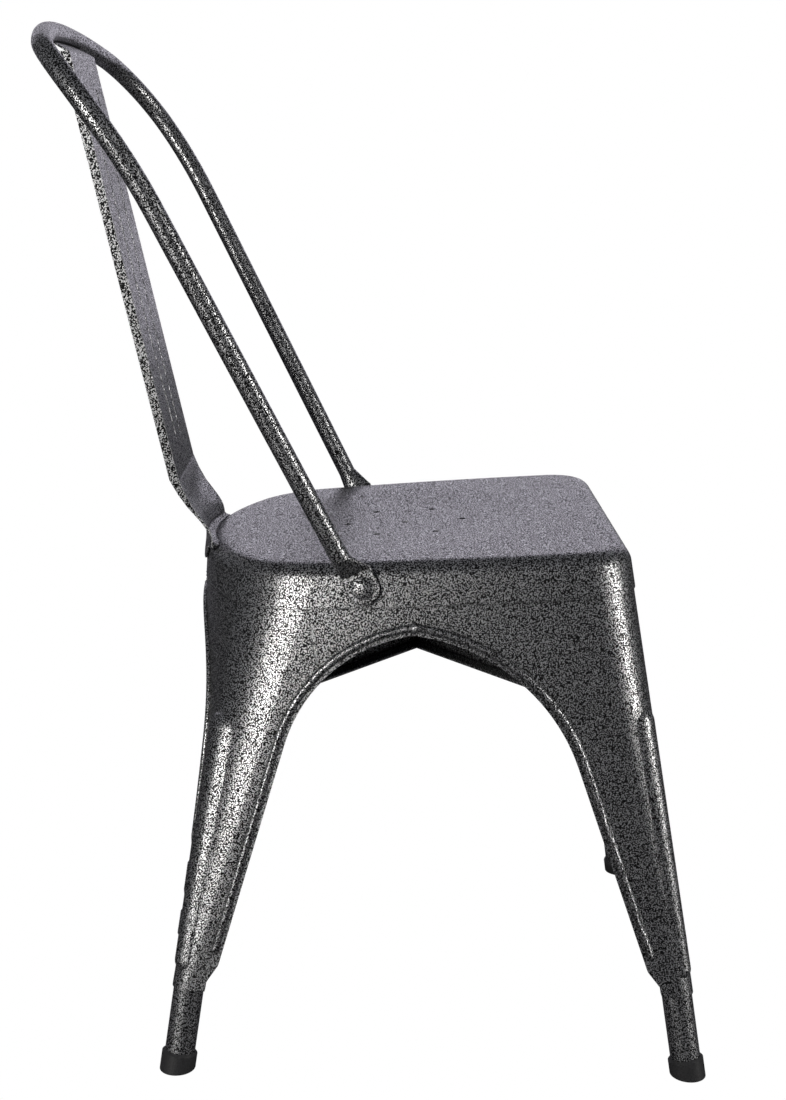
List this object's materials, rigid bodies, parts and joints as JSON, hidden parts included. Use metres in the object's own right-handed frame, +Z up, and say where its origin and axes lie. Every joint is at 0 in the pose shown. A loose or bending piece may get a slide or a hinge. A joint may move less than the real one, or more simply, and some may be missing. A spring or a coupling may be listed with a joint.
{
  "type": "metal bistro chair",
  "caption": "Stacking metal bistro chair with a dished D-shaped seat, pressed flared legs, a bent tube back hoop and a flat central splat.",
  "frame": {"origin": "on the floor, under the middle of the chair's outer box", "axes": "+X to the sitter's left, +Y from the front of the seat to the back, +Z up"},
  "size_m": [0.4496, 0.5614, 0.8496],
  "materials": {
    "hammered_steel": "hammered silver-vein powder coat",
    "black_rubber": "matte"
  },
  "bodies": {
    "root": {"seat_pan": "hammered_steel", "front_left_leg": "hammered_steel", "front_right_leg": "hammered_steel", "rear_left_leg": "hammered_steel", "rear_right_leg": "hammered_steel", "front_left_tube": "hammered_steel", "front_right_tube": "hammered_steel", "rear_left_tube": "hammered_steel", "rear_right_tube": "hammered_steel", "front_left_cap": "black_rubber", "front_right_cap": "black_rubber", "rear_left_cap": "black_rubber", "rear_right_cap": "black_rubber", "back_hoop": "hammered_steel", "back_splat": "hammered_steel", "left_rivet": "hammered_steel", "right_rivet": "hammered_steel", "upper_brace": "hammered_steel", "lower_brace": "hammered_steel"}
  },
  "joints": []
}
